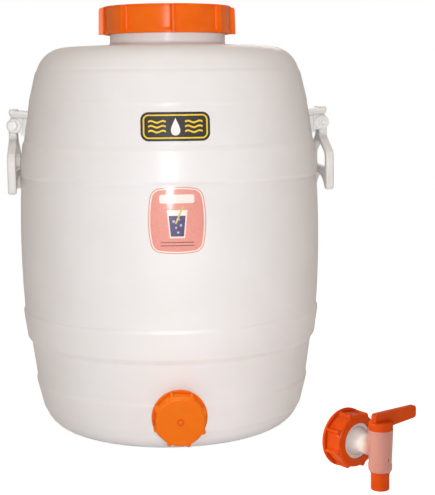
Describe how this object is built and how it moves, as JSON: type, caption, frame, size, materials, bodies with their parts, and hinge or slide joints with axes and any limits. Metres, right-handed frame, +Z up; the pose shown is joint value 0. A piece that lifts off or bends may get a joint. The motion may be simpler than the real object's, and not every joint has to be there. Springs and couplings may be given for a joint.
{
  "type": "beverage barrel with tap",
  "caption": "Bulged plastic beverage barrel with raised hoops, ribbed screw lid, swing handles and a capped outlet, and a loose plug tap whose union nut fits the outlet thread.",
  "frame": {"origin": "on the barrel's axis, in the plane it stands on", "axes": "+Z up along the barrel's axis; -Y towards the outlet and the viewer; +X towards the right handle as seen from the front"},
  "size_m": [0.5042, 0.5672, 0.5848],
  "materials": {
    "natural_wall": "natural polyethylene, faintly translucent, soft satin",
    "red_cap": "red-orange moulded plastic, satin gloss",
    "white_fitting": "white moulded plastic, satin",
    "white_pin": "white moulded plastic, smooth",
    "pin_clip": "pressed steel ring",
    "badge_print": "printed film",
    "contents_print": "printed film",
    "tap_clear": "translucent white moulded plastic",
    "red_tap": "red-orange moulded plastic, satin gloss",
    "seal": "smooth pale food-grade rubber"
  },
  "bodies": {
    "barrel": {"barrel_shell": "natural_wall", "bracket_left": "white_fitting", "bracket_right": "white_fitting", "handle_pin_left": "white_pin", "handle_pin_right": "white_pin", "pin_clip_left": "pin_clip", "pin_clip_right": "pin_clip", "badge_label": "badge_print", "contents_label": "contents_print"},
    "lid_seal": {"lid_gasket": "seal"},
    "screw_lid": {"lid": "red_cap"},
    "cap_seal": {"outlet_cap_gasket": "seal"},
    "screw_cap": {"outlet_cap": "red_cap"},
    "left_handle": {"handle_left": "white_fitting"},
    "right_handle": {"handle_right": "white_fitting"},
    "tap": {"tap_body": "tap_clear", "tap_gasket": "seal"},
    "union_nut": {"tap_union_nut": "red_tap"},
    "plug": {"tap_plug": "red_tap", "plug_ring_upper": "seal", "plug_ring_lower": "seal"}
  },
  "joints": [
    {"name": "lid_rise", "type": "slide", "parent": "barrel", "child": "lid_seal", "axis": [0, 0, 1], "range_m": [0, 0.0121]},
    {"name": "lid_turn", "type": "hinge", "parent": "lid_seal", "child": "screw_lid", "pos_m": [0, 0, 0.5655], "axis": [0, 0, 1], "range_deg": [0, 540]},
    {"name": "cap_draw", "type": "slide", "parent": "barrel", "child": "cap_seal", "axis": [0, -1, 0], "range_m": [0, 0.0091]},
    {"name": "cap_turn", "type": "hinge", "parent": "cap_seal", "child": "screw_cap", "pos_m": [0, -0.2125, 0.0555], "axis": [0, -1, 0], "range_deg": [0, 540]},
    {"name": "left_handle_swing", "type": "hinge", "parent": "barrel", "child": "left_handle", "pos_m": [-0.2165, 0, 0.4238], "axis": [0, 1, 0], "range_deg": [0, 135]},
    {"name": "right_handle_swing", "type": "hinge", "parent": "barrel", "child": "right_handle", "pos_m": [0.2165, 0, 0.4238], "axis": [0, -1, 0], "range_deg": [0, 135]},
    {"name": "tap_lift", "type": "slide", "parent": "barrel", "child": "tap", "axis": [0, 0, 1], "range_m": [0, 0.25]},
    {"name": "nut_turn", "type": "hinge", "parent": "tap", "child": "union_nut", "pos_m": [0.20314, -0.2981, 0.05], "axis": [0.5299, -0.848, 0], "continuous": true},
    {"name": "lever_turn", "type": "hinge", "parent": "tap", "child": "plug", "pos_m": [0.2307, -0.3422, 0.05], "axis": [0, 0, -1], "range_deg": [0, 90]}
  ],
  "couplings": [
    {"joint": "lid_rise", "follows": "lid_turn", "m_per_rad": 0.0012732},
    {"joint": "cap_draw", "follows": "cap_turn", "m_per_rad": 0.00095493}
  ]
}
